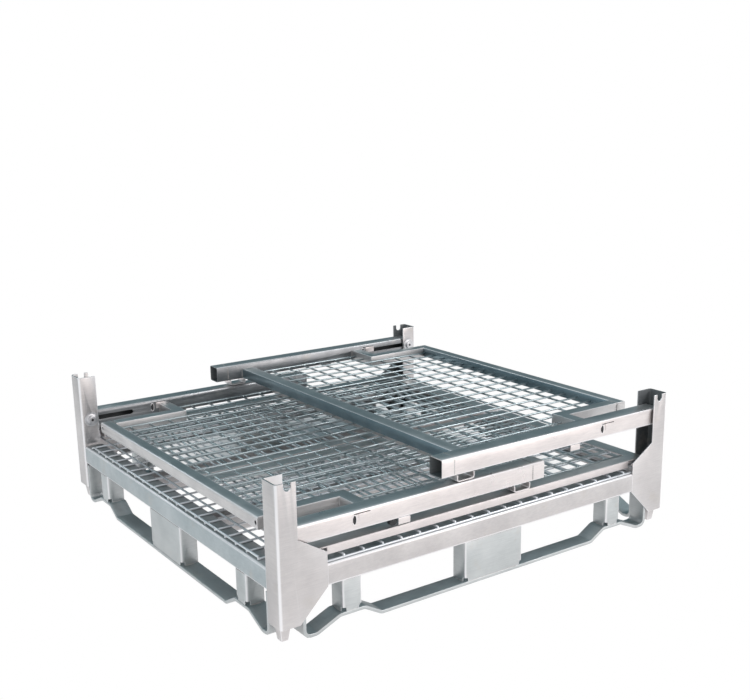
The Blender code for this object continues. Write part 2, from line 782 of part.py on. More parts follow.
def end_wall(label, direction, pivot_z, shape):
    axis = empty_axis(label + "_axis", (-direction * PIVOT_X, 0.0, pivot_z))
    between_tubes = HALF_Y - TUBE_SIDE_CLEARANCE - TUBE - GAP
    top_rail(label + "_top_rail", axis, direction, between_tubes)
    stile_face = HALF_Y - STILE_OFFSET
    bottom_rail(label + "_bottom_rail", axis, direction, shape["bottom_rail"], stile_face)
    wall_mesh(label + "_mesh", axis, direction, shape)
    stile_start = shape["bottom_rail"] + BOTTOM_RAIL_WIDTH + GAP
    for side, word in ((-1, "front"), (1, "rear")):
        outer_tube(f"{label}_tube_{word}", axis, direction, side, shape["slot_end"])
        inner_stile(
            f"{label}_stile_{word}", axis, direction, side, stile_start, shape["pocket_end"]
        )
        keeper(f"{label}_keeper_{word}", axis, direction, side)


# ---------------------------------------------------------------- side walls
def side_wall(label, side):
    """A low gate hinged along a long side: sheet frame with one deep leg, and a grille."""
    hinge_y = side * (HALF_Y - SIDE_HINGE_INSET)
    axis = empty_axis(label + "_axis", (0.0, hinge_y, SIDE_HINGE_Z))
    half = HALF_X - SIDE_WALL_END_CLEARANCE
    outer = HALF_Y - SIDE_WALL_INSET
    inner = outer - SIDE_WALL_DEPTH
    middle = side * (outer + inner) / 2
    ring = [
        rectangle(2 * half, SIDE_WALL_DEPTH),
        rectangle(2 * (half - SIDE_WALL_FLANGE), SIDE_WALL_DEPTH - 2 * SIDE_WALL_FLANGE),
    ]
    plate_z = SIDE_WALL_TOP - SIDE_WALL_SHEET / 2
    frame = prism(label + "_frame", ring, SIDE_WALL_SHEET, "Z", (0.0, middle, plate_z))

    def leg(name, length, y):
        height = SIDE_WALL_TOP - SIDE_WALL_BOTTOM - SIDE_WALL_SHEET / 2
        z = SIDE_WALL_BOTTOM + height / 2
        return box(name, (length, SIDE_WALL_SHEET, height), (0.0, y, z))

    leg_length = 2 * (half - SIDE_LEG_CUT_BACK)
    outer_leg_y = side * (outer - SIDE_WALL_SHEET / 2)
    inner_leg_y = side * (inner + SIDE_WALL_SHEET / 2)
    boolean(frame, leg(label + "_outer_leg", leg_length, outer_leg_y), "UNION")
    boolean(frame, leg(label + "_inner_leg", leg_length, inner_leg_y), "UNION")

    cheek_depth = SIDE_WALL_FLANGE - CUT_MARGIN
    cheek_height = SIDE_WALL_TOP - SIDE_WALL_BOTTOM - SIDE_WALL_SHEET / 2
    for sign in (-1, 1):
        x = sign * (half - CHEEK_THICKNESS / 2 - CUT_MARGIN)
        size = (CHEEK_THICKNESS, cheek_depth, cheek_height)
        y = side * (outer - CUT_MARGIN - cheek_depth / 2)
        cheek = box(f"{label}_cheek_{sign}", size, (x, y, SIDE_WALL_BOTTOM + cheek_height / 2))
        boolean(frame, cheek, "UNION")
        spot = (x, hinge_y, SIDE_HINGE_Z)
        bore = drum(f"{label}_bore_{sign}", CHEEK_HOLE, 3 * CHEEK_THICKNESS, "X", spot, CHEEK_HOLE_SIDES)
        boolean(frame, bore, "DIFFERENCE")
    keep(frame, "frame_steel", axis)

    half_bar = WIRE_BAR / 2
    clear = SIDE_WALL_FLANGE + GAP + half_bar
    xs = spaced(-half + clear, half - clear, SIDE_MESH_CELLS[0])
    reach = SIDE_WALL_DEPTH / 2 - clear
    ys = spaced(-reach, reach, SIDE_MESH_CELLS[1])
    mesh_z = SIDE_WALL_TOP - SIDE_WALL_SHEET - WIRE / 2
    grille = lattice(label + "_mesh", xs, ys, WIRE_BAR, WIRE, (0.0, middle, mesh_z))
    keep(grille, "wire_steel", axis)


def side_hinge(name, side):
    """A fixed rod along a side wall's axis, carried by a lug at each end of the rail."""
    y = side * (HALF_Y - SIDE_HINGE_INSET)
    half = HALF_X - SIDE_WALL_END_CLEARANCE + CUT_MARGIN
    rod = drum(name, SIDE_HINGE_RADIUS, 2 * half, "X", (0.0, y, SIDE_HINGE_Z), ROD_SIDES)
    bottom = RAIL_TOP + WIRE + 3 * GAP
    height = SIDE_HINGE_Z + SIDE_HINGE_RADIUS + CUT_MARGIN - bottom
    for sign in (-1, 1):
        x = sign * (half + LUG_THICKNESS / 2 - GAP)
        size = (LUG_THICKNESS, LUG_WIDTH, height)
        lug = box(f"{name}_lug_{sign}", size, (x, y, bottom + height / 2))
        boolean(rod, lug, "UNION")
    return keep(rod, "pin_steel")


# ---------------------------------------------------------------- assembly
def build_base():
    for sx, word_x, pivot_z in ((-1, "left", LEFT_PIVOT_Z), (1, "right", RIGHT_PIVOT_Z)):
        for sy, word_y in ((-1, "front"), (1, "rear")):
            place = f"{word_y}_{word_x}"
            corner_post("corner_post_" + place, sx, sy, pivot_z)
            stacking_foot("stacking_foot_" + place, sx, sy)
            pivot_pin("pivot_pin_" + place, sx, sy, pivot_z)

    long_rail = LENGTH - 2 * (GUSSET_REACH + GAP)
    short_rail = WIDTH - 2 * (POST_WEB + GAP)
    sides = (
        ("front", "X", -1, HALF_X, STRAP_FROM_END, long_rail),
        ("rear", "X", 1, HALF_X, STRAP_FROM_END, long_rail),
        ("left", "Y", -1, HALF_Y, STRAP_FROM_SIDE, short_rail),
        ("right", "Y", 1, HALF_Y, STRAP_FROM_SIDE, short_rail),
    )
    for word, axis, side, half_length, strap, rail_length in sides:
        base_rail("base_rail_" + word, rail_length, axis, side)
        runner("runner_" + word, half_length, strap, axis, side)
        block_bottom = RUNNER_THICKNESS + GAP
        half_block = CENTRE_BLOCK_WIDTH / 2
        block("centre_block_" + word, axis, side, -half_block, half_block, block_bottom)
        end_bottom = RUNNER_PLATEAU + RUNNER_THICKNESS + GAP
        near, far = (half_length - distance for distance in END_BLOCK_SPAN)
        block(f"end_block_{word}_a", axis, side, -near, -far, end_bottom)
        block(f"end_block_{word}_b", axis, side, far, near, end_bottom)
    bearer("bearer_front", -1)
    bearer("bearer_rear", 1)
    floor_mesh()
    side_hinge("side_hinge_front", -1)
    side_hinge("side_hinge_rear", 1)


build_base()
end_wall("left_wall", 1, LEFT_PIVOT_Z, LEFT_WALL)
end_wall("right_wall", -1, RIGHT_PIVOT_Z, RIGHT_WALL)
side_wall("front_wall", -1)
side_wall("rear_wall", 1)
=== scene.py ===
"""Studio scene of the folded wire mesh container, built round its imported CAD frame."""

import json
import math
import random

import bmesh
import bpy
from mathutils import Euler, Matrix, Vector


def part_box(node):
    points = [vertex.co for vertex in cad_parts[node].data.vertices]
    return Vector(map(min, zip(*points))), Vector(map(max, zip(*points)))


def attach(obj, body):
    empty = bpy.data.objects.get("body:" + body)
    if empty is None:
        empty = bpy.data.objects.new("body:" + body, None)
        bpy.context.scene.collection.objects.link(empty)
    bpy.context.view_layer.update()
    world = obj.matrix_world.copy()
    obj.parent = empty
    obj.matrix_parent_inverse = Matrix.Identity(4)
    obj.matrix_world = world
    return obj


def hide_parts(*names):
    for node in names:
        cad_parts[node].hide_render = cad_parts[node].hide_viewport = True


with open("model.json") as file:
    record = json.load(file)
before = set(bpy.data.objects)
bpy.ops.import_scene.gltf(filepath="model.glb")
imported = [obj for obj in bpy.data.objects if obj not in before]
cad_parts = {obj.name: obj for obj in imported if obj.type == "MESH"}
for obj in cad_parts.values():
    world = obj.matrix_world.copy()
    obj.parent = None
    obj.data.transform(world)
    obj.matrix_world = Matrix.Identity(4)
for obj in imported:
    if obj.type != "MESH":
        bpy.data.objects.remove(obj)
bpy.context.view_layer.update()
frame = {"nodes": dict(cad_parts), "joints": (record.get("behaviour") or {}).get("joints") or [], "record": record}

BODY_OF = {}
for body_name, members in frame["record"]["behaviour"]["bodies"].items():
    for member in members:
        BODY_OF[member] = body_name
SLOT_OF = {entry["node"]: entry["material_slot"] for entry in frame["record"]["subparts"]}
PIVOTS = {joint["child"]: Vector(joint["pos_m"]) for joint in frame["joints"]}

HALF_X, HALF_Y = (-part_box("corner_post_front_left")[0]).xy
RAIL_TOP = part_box("base_rail_front")[1].z
TUBE_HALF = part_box("left_wall_tube_front")[1].z - PIVOTS["left_wall"].z

SIDES = ((-1, "front"), (1, "rear"))
QUARTER_TURN = math.pi / 2
UP = Vector((0.0, 0.0, 1.0))
RANDOM = random.Random(11)


# ---------------------------------------------------------------- shader nodes
def node_tree(mat):
    mat.use_nodes = True
    tree = mat.node_tree
    return tree, tree.nodes["Principled BSDF"]


def add_node(tree, kind, inputs=None, **settings):
    node = tree.nodes.new(kind)
    for key, value in settings.items():
        setattr(node, key, value)
    for key, value in (inputs or {}).items():
        node.inputs[key].default_value = value
    return node


def feed(tree, socket, value):
    """Link a socket to another one, or give it a number or a colour."""
    if isinstance(value, bpy.types.NodeSocket):
        tree.links.new(value, socket)
    elif isinstance(value, tuple):
        socket.default_value = (*value, 1.0)
    else:
        socket.default_value = value


def noise(tree, coords, scale, detail, stretch=None, roughness=0.55):
    source = coords
    if stretch is not None:
        mapping = add_node(tree, "ShaderNodeMapping", {"Scale": stretch})
        tree.links.new(coords, mapping.inputs["Vector"])
        source = mapping.outputs["Vector"]
    settings = {"Scale": scale, "Detail": detail, "Roughness": roughness}
    node = add_node(tree, "ShaderNodeTexNoise", settings)
    tree.links.new(source, node.inputs["Vector"])
    return node.outputs["Fac"]


def ramp(tree, value, stops):
    node = add_node(tree, "ShaderNodeValToRGB")
    elements = node.color_ramp.elements
    for element, (position, color) in zip(elements, (stops[0], stops[-1])):
        element.position = position
        element.color = (*color, 1.0)
    for position, color in stops[1:-1]:
        elements.new(position).color = (*color, 1.0)
    tree.links.new(value, node.inputs["Fac"])
    return node.outputs["Color"]


def mix(tree, factor, first, second, blend="MIX"):
    """Mix two colours; the RGBA sockets of a Mix node are its inputs 6 and 7 and its output 2."""
    node = add_node(tree, "ShaderNodeMix", data_type="RGBA", blend_type=blend)
    for index, value in ((0, factor), (6, first), (7, second)):
        feed(tree, node.inputs[index], value)
    return node.outputs[2]


def spread(tree, value, low, high, from_low=0.3, from_high=0.7):
    settings = {"From Min": from_low, "From Max": from_high, "To Min": low, "To Max": high}
    node = add_node(tree, "ShaderNodeMapRange", settings)
    tree.links.new(value, node.inputs["Value"])
    return node.outputs["Result"]


def math_node(tree, operation, first, second):
    node = add_node(tree, "ShaderNodeMath", operation=operation)
    for socket, value in zip(node.inputs, (first, second)):
        feed(tree, socket, value)
    return node.outputs["Value"]


def split_axes(tree, vector):
    split = add_node(tree, "ShaderNodeSeparateXYZ")
    tree.links.new(vector, split.inputs["Vector"])
    return split.outputs


def shown_to_camera(tree, lit, seen, output):
    """One shader for the light in the room, another for what the camera looks at directly."""
    path = add_node(tree, "ShaderNodeLightPath")
    blend = add_node(tree, "ShaderNodeMixShader")
    tree.links.new(path.outputs["Is Camera Ray"], blend.inputs["Fac"])
    tree.links.new(lit, blend.inputs[1])
    tree.links.new(seen, blend.inputs[2])
    tree.links.new(blend.outputs["Shader"], tree.nodes[output].inputs["Surface"])


# ---------------------------------------------------------------- zinc
WHITE = (1.0, 1.0, 1.0)
# noises: scale and detail, then stretch and roughness where they are set
CLOUDS = (9.0, 5.0)
STREAKS = (26.0, 3.0)
GRAIN = (900.0, 2.0)
PATCHES = (17.0, 6.0, None, 0.65)
SMUDGES = (14.0, 6.0, (1.0, 1.3, 0.8), 0.6)
DENTS = (22.0, 2.0)
PITS = (700.0, 3.0)
SLOT_MOTTLE = (260.0, 4.0)

CLOUD_RANGE = (0.32, 0.68)
STREAK_RANGE, STREAK_SHADE, STREAK_SHARE = (0.35, 0.62), (0.90, 0.90, 0.91), 0.7
GRAIN_RANGE, GRAIN_SHADE, GRAIN_SHARE = (0.3, 0.7), (0.93, 0.93, 0.93), 0.8
PATCH_RANGE, PATCH_TINT = (0.58, 0.72), (0.50, 0.46, 0.41)
POLISH, DULLING = 0.07, 0.10
DENT_BUMP = {"Strength": 0.05, "Distance": 0.002}
PIT_BUMP = {"Strength": 0.10, "Distance": 0.0002}

# by the normal: painted shade on faces that lie flat,
# and a painted highlight, partly wear, on rounded edges
TOP_SHADE_RANGE, TOP_SHADE_TINT = (0.80, 0.97), (0.66, 0.74, 0.76)
EDGE_RANGE, EDGE_HIGHLIGHT_AND_WEAR, EDGE_METALLIC = (0.86, 0.985), (0.97, 0.96, 0.98), 0.25

UPRIGHT_STREAK = (1.0, 1.0, 14.0)
RAIL_STREAK = (3.0, 3.0, 10.0)
TUBE_STREAK = (2.0, 14.0, 14.0)


def zinc(name, bright, dull, roughness, metallic, stain=0.35, streak=UPRIGHT_STREAK, edge=0.85):
    """Bright zinc plate: clouded, faintly streaked and stained, with a fine satin grain.

    Faces that lie flat get a painted shade, cooler and darker than upright ones, and bends
    and edges are painted bright and made less metallic, partly as highlight and partly as wear.
    """
    mat = bpy.data.materials.new(name)
    tree, shader = node_tree(mat)
    texture = add_node(tree, "ShaderNodeTexCoord")
    coords = texture.outputs["Object"]
    facing = split_axes(tree, texture.outputs["Normal"])
    top_shade = spread(tree, facing["Z"], 0.0, 1.0, *TOP_SHADE_RANGE)

    clouds = noise(tree, coords, *CLOUDS)
    color = ramp(tree, clouds, list(zip(CLOUD_RANGE, (dull, bright))))
    streaks = noise(tree, coords, *STREAKS, streak)
    streak_tint = ramp(tree, streaks, list(zip(STREAK_RANGE, (STREAK_SHADE, WHITE))))
    color = mix(tree, STREAK_SHARE, color, streak_tint, "MULTIPLY")
    grain = noise(tree, coords, *GRAIN)
    grain_tint = ramp(tree, grain, list(zip(GRAIN_RANGE, (GRAIN_SHADE, WHITE))))
    color = mix(tree, GRAIN_SHARE, color, grain_tint, "MULTIPLY")

    patches = noise(tree, coords, *PATCHES)
    color = mix(tree, spread(tree, patches, 0.0, stain, *PATCH_RANGE), color, PATCH_TINT)
    # painted shade: faces that lie flat are darkened and cooled
    color = mix(tree, top_shade, color, TOP_SHADE_TINT, "MULTIPLY")
    # painted highlight, partly wear: rounded edges turn pale and less metallic
    if edge:
        steepest = 0.0
        for axis in "XYZ":
            part = math_node(tree, "ABSOLUTE", facing[axis], 0.0)
            steepest = math_node(tree, "MAXIMUM", part, steepest)
        edge_highlight_and_wear = spread(tree, steepest, edge, 0.0, *EDGE_RANGE)
        color = mix(tree, edge_highlight_and_wear, color, EDGE_HIGHLIGHT_AND_WEAR)
        highlight_and_wear_metallic = spread(tree, steepest, EDGE_METALLIC, metallic, *EDGE_RANGE)
        tree.links.new(highlight_and_wear_metallic, shader.inputs["Metallic"])
    else:
        shader.inputs["Metallic"].default_value = metallic
    tree.links.new(color, shader.inputs["Base Color"])

    smudges = noise(tree, coords, *SMUDGES)
    finish = spread(tree, smudges, roughness - POLISH, roughness + DULLING)
    tree.links.new(finish, shader.inputs["Roughness"])

    wave = add_node(tree, "ShaderNodeBump", DENT_BUMP)
    tree.links.new(noise(tree, coords, *DENTS), wave.inputs["Height"])
    fine = add_node(tree, "ShaderNodeBump", PIT_BUMP)
    tree.links.new(noise(tree, coords, *PITS), fine.inputs["Height"])
    tree.links.new(wave.outputs["Normal"], fine.inputs["Normal"])
    tree.links.new(fine.outputs["Normal"], shader.inputs["Normal"])
    return mat


# each tone is a bright and a dull colour
WARM = ((0.66, 0.635, 0.63), (0.55, 0.53, 0.53))
COOL = ((0.60, 0.625, 0.63), (0.49, 0.52, 0.525))
PLAIN = ((0.68, 0.665, 0.66), (0.57, 0.56, 0.56))
ROSE = ((0.84, 0.78, 0.765), (0.72, 0.67, 0.66))
DRAWN = ((0.52, 0.58, 0.60), (0.32, 0.38, 0.40))
TURNED = ((0.74, 0.74, 0.75), (0.60, 0.60, 0.62))
FRESH = ((0.86, 0.88, 0.91), (0.66, 0.70, 0.74))
FUSED = ((0.66, 0.65, 0.65), (0.40, 0.38, 0.37))
# painted shade: near-black, for the insides of the right posts and of the tubes
HOLLOW_SHADE = ((0.20, 0.215, 0.22), (0.11, 0.12, 0.13))
# painted shade: cooler and darker, for the left-facing faces of the left base rail
LEFT_FACE_SHADE = ((0.50, 0.55, 0.57), (0.40, 0.455, 0.475))
# painted shade: dark teal, for the left-facing faces of the right wall's rails
RAIL_FACE_SHADE = ((0.27, 0.355, 0.395), (0.19, 0.26, 0.295))
# painted shade: grey, for the front faces of the rear tubes
REAR_FACE_SHADE = ((0.41, 0.42, 0.435), (0.27, 0.28, 0.29))

LOOKS = {
    "post_steel": zinc("post_zinc", *WARM, 0.38, 0.85),
    "rail_steel": zinc("rail_zinc", *WARM, 0.40, 0.85, streak=RAIL_STREAK),
    "block_steel": zinc("block_zinc", *COOL, 0.42, 0.85),
    "runner_steel": zinc("runner_zinc", *COOL, 0.42, 0.85, edge=0.0),
    "tube_steel": zinc("tube_zinc", *ROSE, 0.32, 0.90, stain=0.15, streak=TUBE_STREAK),
    "frame_steel": zinc("frame_zinc", *PLAIN, 0.38, 0.85, stain=0.25),
    "wire_steel": zinc("wire_zinc", *DRAWN, 0.30, 0.9, stain=0.2, edge=0.0),
    "pin_steel": zinc("pin_zinc", *TURNED, 0.32, 0.9, edge=0.0),
}
FLOOR_WIRE_LOOK = zinc("floor_wire_zinc", *FRESH, 0.32, 0.55, stain=0.2, edge=0.0)
SIDE_WALL_LOOK = zinc("side_wall_zinc", *ROSE, 0.38, 0.88, stain=0.2, streak=TUBE_STREAK)
WELD_LOOK = zinc("weld_zinc", *FUSED, 0.46, 0.70, stain=0.6, edge=0.0)
# painted shade on the insides of the right posts and of the tubes
INSIDE_SHADE_LOOK = zinc("inside_shade_zinc", *HOLLOW_SHADE, 0.55, 0.50, edge=0.0)
# painted shade on the left-facing faces of the left base rail
LEFT_FACE_SHADE_LOOK = zinc("left_face_shade_zinc", *LEFT_FACE_SHADE, 0.40, 0.85, streak=RAIL_STREAK)
# painted shade on the left-facing faces of the right wall's rails
RAIL_FACE_SHADE_LOOK = zinc("rail_face_shade_zinc", *RAIL_FACE_SHADE, 0.36, 0.88, stain=0.25, edge=0.0)
# painted shade on the front faces of the rear tubes
REAR_FACE_SHADE_LOOK = zinc("rear_face_shade_zinc", *REAR_FACE_SHADE, 0.34, 0.90, stain=0.3, streak=TUBE_STREAK, edge=0.0)

# near-black tones of the painted shade in slots, sockets and beside the left wall's tabs
SLOT_SHADE_TONES = [(0.3, (0.010, 0.011, 0.013)), (0.7, (0.035, 0.035, 0.038))]
SLOT_MOTTLE_FINISH = (0.6, 0.85)


def dark_steel():
    """Painted shade for the unlit inside of a slot or hole: dull, near-black, mottled zinc."""
    mat = bpy.data.materials.new("slot_shadow")
    tree, shader = node_tree(mat)
    coords = add_node(tree, "ShaderNodeTexCoord").outputs["Object"]
    mottle = noise(tree, coords, *SLOT_MOTTLE)
    tree.links.new(ramp(tree, mottle, SLOT_SHADE_TONES), shader.inputs["Base Color"])
    tree.links.new(spread(tree, mottle, *SLOT_MOTTLE_FINISH), shader.inputs["Roughness"])
    return mat


DARK = dark_steel()

# ---------------------------------------------------------------- mesh helpers
SMOOTH_ANGLE = math.radians(38)
WIRE_ANGLE = math.radians(50)
ROUND_ANGLE = math.radians(60)
BEVEL_ANGLE = math.radians(36)
BEVEL_SEGMENTS = 2
COPLANAR_ANGLE = math.radians(0.6)
WELD_DISTANCE = 0.00002
NO_LENGTH = 0.000002
NEAR_VERTICAL = 0.9


def shade(mesh, angle=SMOOTH_ANGLE):
    mesh.shade_smooth()
    mesh.set_sharp_from_angle(angle=angle)


def add_object(name, data):
    obj = bpy.data.objects.new(name, data)
    bpy.context.scene.collection.objects.link(obj)
    return obj


def mesh_object(name, bm):
    bmesh.ops.recalc_face_normals(bm, faces=bm.faces)
    mesh = bpy.data.meshes.new(name)
    bm.to_mesh(mesh)
    bm.free()
    return add_object(name, mesh)


def bevel(obj, width):
    """Round an object's edges over, and clear away any face that the bevel left without area."""
    mod = obj.modifiers.new("edges", "BEVEL")
    mod.width = width
    mod.segments = BEVEL_SEGMENTS
    mod.limit_method = "ANGLE"
    mod.angle_limit = BEVEL_ANGLE
    mod.use_clamp_overlap = True
    evaluated = obj.evaluated_get(bpy.context.evaluated_depsgraph_get())
    mesh = bpy.data.meshes.new_from_object(evaluated)
    obj.modifiers.clear()
    obj.data = mesh
    bm = bmesh.new()
    bm.from_mesh(mesh)
    bmesh.ops.dissolve_degenerate(bm, dist=NO_LENGTH, edges=bm.edges)
    bm.to_mesh(mesh)
    bm.free()
    shade(mesh)


def dress(obj, body, slot, material=None):
    obj.data.materials.clear()
    obj.data.materials.append(material or LOOKS[slot])
    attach(obj, body)
    return obj


def relook(obj, look, is_chosen):
    """Give some faces another look, chosen by their centre and normal."""
    obj.data.materials.append(look)
    slot = len(obj.data.materials) - 1
    for polygon in obj.data.polygons:
        if is_chosen(polygon.center, polygon.normal):
            polygon.material_index = slot


def box_mesh(bm, low, high):
    size = Vector(high) - Vector(low)
    middle = (Vector(high) + Vector(low)) / 2
    place = Matrix.Translation(middle) @ Matrix.Diagonal((*size, 1.0))
    bmesh.ops.create_cube(bm, size=1.0, matrix=place)


def ring(bm, centre, across, up, radius, sides):
    verts = []
    for k in range(sides):
        angle = 2 * math.pi * k / sides
        offset = (across * math.cos(angle) + up * math.sin(angle)) * radius
        verts.append(bm.verts.new(centre + offset))
    return verts


def skin(bm, rings):
    """Join rings of vertices into a closed tube."""
    for first, second in zip(rings, rings[1:]):
        count = len(first)
        for k in range(count):
            n = (k + 1) % count
            bm.faces.new((first[k], first[n], second[n], second[k]))
    bm.faces.new(list(reversed(rings[0])))
    bm.faces.new(rings[-1])


def axes_of(direction):
    """Two directions square to a line's own."""
    upright = abs(direction.z) > NEAR_VERTICAL
    side = Vector((1.0, 0.0, 0.0)) if upright else UP
    across = direction.cross(side).normalized()
    return across, across.cross(direction).normalized()


def outer_inner(side, low, high):
    """The outward and the inward Y of a box on one side of the container."""
    return (low.y, high.y) if side < 0 else (high.y, low.y)


# ---------------------------------------------------------------- wires and beads
WIRE_RADIUS = 0.0026
WIRE_SIDES = 12
WIRE_BOW = 0.0004
WIRE_BAYS = 6
WIRE_CHAMFER, CUT_SHARE = 0.3, 0.7
WIRE_SINK = 0.0004
NUGGET_WIDTH, NUGGET_HEIGHT = 0.0031, 0.0030
NUGGET_SPREAD = (-0.1, 0.15)

BEAD_SIDES = 8
BEAD_STEP, BEAD_FEWEST = 0.0016, 6
BEAD_TAPER, BEAD_END, BEAD_RISE = 0.02, 0.35, 3
RIPPLE, RIPPLE_STEPS, RIPPLE_JITTER = 0.14, 3, 0.05
SEAM_BEAD, POST_BEAD, BLOCK_BEAD, FOOT_BEAD, THIN_BEAD = 0.0022, 0.0020, 0.0018, 0.0016, 0.0014


def wire(bm, start, end):
    """A straight drawn wire with a slight bow and softened cut ends."""
    start, end = Vector(start), Vector(end)
    direction = (end - start).normalized()
    across, up = axes_of(direction)
    length = (end - start).length
    pull = RANDOM.uniform(-WIRE_BOW, WIRE_BOW)
    chamfer = WIRE_RADIUS * WIRE_CHAMFER
    spots = [(0.0, CUT_SHARE), (chamfer, 1.0)]
    for k in range(1, WIRE_BAYS):
        spots.append((length * k / WIRE_BAYS, 1.0))
    spots += [(length - chamfer, 1.0), (length, CUT_SHARE)]
    rings = []
    for along, share in spots:
        lift = pull * math.sin(math.pi * along / length)
        centre = start + direction * along + up * lift
        rings.append(ring(bm, centre, across, up, WIRE_RADIUS * share, WIRE_SIDES))
    skin(bm, rings)


def nugget(bm, place):
    """The fused metal where two wires cross."""
    width = NUGGET_WIDTH * (1.0 + RANDOM.uniform(*NUGGET_SPREAD))
    matrix = Matrix.Translation(place) @ Matrix.Diagonal((width, width, NUGGET_HEIGHT, 1.0))
    bmesh.ops.create_icosphere(bm, subdivisions=1, radius=1.0, matrix=matrix)


def weld_bead(bm, start, end, radius=SEAM_BEAD):
    """A rippled bead of weld along a straight joint."""
    start, end = Vector(start), Vector(end)
    direction = (end - start).normalized()
    across, up = axes_of(direction)
    length = (end - start).length
    count = max(BEAD_FEWEST, round(length / BEAD_STEP))
    rings = []
    for k in range(count + 1):
        share = k / count
        wave = RIPPLE * math.cos(2 * math.pi * k / RIPPLE_STEPS)
        ripple = 1.0 - RIPPLE + wave + RANDOM.uniform(-RIPPLE_JITTER, RIPPLE_JITTER)
        from_end = min(share, 1 - share) * length
        taper = min(1.0, BEAD_END + BEAD_RISE * from_end / BEAD_TAPER)
        centre = start + direction * length * share
        rings.append(ring(bm, centre, across, up, radius * ripple * taper, BEAD_SIDES))
    skin(bm, rings)


def grille(name, body, x_wires, y_wires, low_z, x_on_top=True, look=None):
    """Welded mesh. x_wires are (y, x0, x1) and y_wires are (x, y0, y1)."""
    step = 2 * WIRE_RADIUS - WIRE_SINK
    x_z = low_z + (step if x_on_top else 0.0)
    y_z = low_z + (0.0 if x_on_top else step)
    bm = bmesh.new()
    for y, x0, x1 in x_wires:
        wire(bm, (x0, y, x_z), (x1, y, x_z))
    for x, y0, y1 in y_wires:
        wire(bm, (x, y0, y_z), (x, y1, y_z))
    for y, x0, x1 in x_wires:
        for x, y0, y1 in y_wires:
            if x0 <= x <= x1 and y0 <= y <= y1:
                nugget(bm, Vector((x, y, (x_z + y_z) / 2)))
    obj = mesh_object(name, bm)
    shade(obj.data, WIRE_ANGLE)
    return dress(obj, body, "wire_steel", look)


# ---------------------------------------------------------------- CAD solids, finished
BEVELS = {
    "post_steel": 0.0009,
    "rail_steel": 0.0008,
    "block_steel": 0.0007,
    "runner_steel": 0.0012,
    "tube_steel": 0.0006,
    "frame_steel": 0.0008,
    "pin_steel": 0.0004,
}
WIRE_NODES = [node for node, slot in SLOT_OF.items() if slot == "wire_steel"]
PIN_NODES = [node for node in SLOT_OF if node.startswith("pivot_pin")]
POST_SHEET, POST_DEPTH, POST_FOOT = 0.0025, 0.0555, 0.062
TUBE_SHEET = 0.0016
SQUARE_ON = 0.9


def refined(node, width):
    """A copy of a CAD solid with flat faces made whole and its edges rounded over."""
    bm = bmesh.new()
    bm.from_mesh(frame["nodes"][node].data)
    bmesh.ops.remove_doubles(bm, verts=bm.verts, dist=WELD_DISTANCE)
    bmesh.ops.dissolve_limit(bm, angle_limit=COPLANAR_ANGLE, verts=bm.verts, edges=bm.edges)
    obj = mesh_object(node + "_finished", bm)
    bevel(obj, width)
    look = SIDE_WALL_LOOK if node in ("front_wall_frame", "rear_wall_frame") else None
    dress(obj, BODY_OF[node], SLOT_OF[node], look)
    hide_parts(node)
    return obj


def inside_right_post(spot, _normal):
    return (
        0.0 < spot.x < HALF_X - POST_SHEET
        and HALF_Y - POST_DEPTH < abs(spot.y) < HALF_Y - POST_SHEET
        and spot.z > POST_FOOT
    )


def inside_tube(node):
    low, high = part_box(node)
    middle = (low + high) / 2
    half = TUBE_HALF - TUBE_SHEET
    return lambda spot, _normal: abs(spot.y - middle.y) < half and abs(spot.z - middle.z) < half


def faces_front(_spot, normal):
    return normal.y < -SQUARE_ON


def faces_left(_spot, normal):
    return normal.x < -SQUARE_ON


for node, slot in SLOT_OF.items():
    if node not in WIRE_NODES and node not in PIN_NODES:
        piece = refined(node, BEVELS[slot])
        if node.startswith("corner_post"):
            # painted shade: the inside faces of the right posts get the near-black look
            relook(piece, INSIDE_SHADE_LOOK, inside_right_post)
        elif "_tube_" in node:
            if node.endswith("_rear"):
                # painted shade: the rear tubes' front faces are made grey and darker
                relook(piece, REAR_FACE_SHADE_LOOK, faces_front)
            # painted shade: the inside faces of each tube get the near-black look
            relook(piece, INSIDE_SHADE_LOOK, inside_tube(node))
        elif node in ("right_wall_bottom_rail", "right_wall_top_rail"):
            # painted shade: the right wall rails' left-facing faces are made dark teal
            relook(piece, RAIL_FACE_SHADE_LOOK, faces_left)
        elif node == "base_rail_left":
            # painted shade: the left base rail's left-facing faces are made cooler and darker
            relook(piece, LEFT_FACE_SHADE_LOOK, faces_left)

# ---------------------------------------------------------------- pivot pins
LATHE_SIDES = 48
COLLAR_TOP, COLLAR_EDGE = 0.006, 0.0006
# radius and height along the pin, from the bottom of its blind socket over the collar
COLLAR = (
    (0.0012, 0.0050), (0.0032, 0.0048), (0.0034, 0.0), (0.0104, 0.0), (0.0116, 0.0005),
    (0.0120, 0.0016), (0.0120, COLLAR_TOP - COLLAR_EDGE), (0.0128, COLLAR_TOP),
)
WASHER_EDGE, WASHER_BACK_EDGE, WASHER_SOFTENED = 0.0008, 0.0006, 0.0007
WASHER_TOP = 0.0030
SHANK_RADIUS, SHANK_CHAMFER = 0.0060, 0.0010
SOCKET_SHADE = ((0.0010, 0.0008), (0.0037, 0.0004), (0.0037, -0.0002))


def lathe(name, profile, centre, turn):
    """Turn a profile of (radius, height) round Z, then place it by a rotation about X."""
    bm = bmesh.new()
    rings = []
    for radius, height in profile:
        verts = []
        for k in range(LATHE_SIDES):
            angle = 2 * math.pi * k / LATHE_SIDES
            spot = (radius * math.cos(angle), radius * math.sin(angle), height)
            verts.append(bm.verts.new(spot))
        rings.append(verts)
    skin(bm, rings)
    obj = mesh_object(name, bm)
    obj.data.transform(Matrix.Translation(centre) @ Matrix.Rotation(turn, 4, "X"))
    shade(obj.data)
    return obj


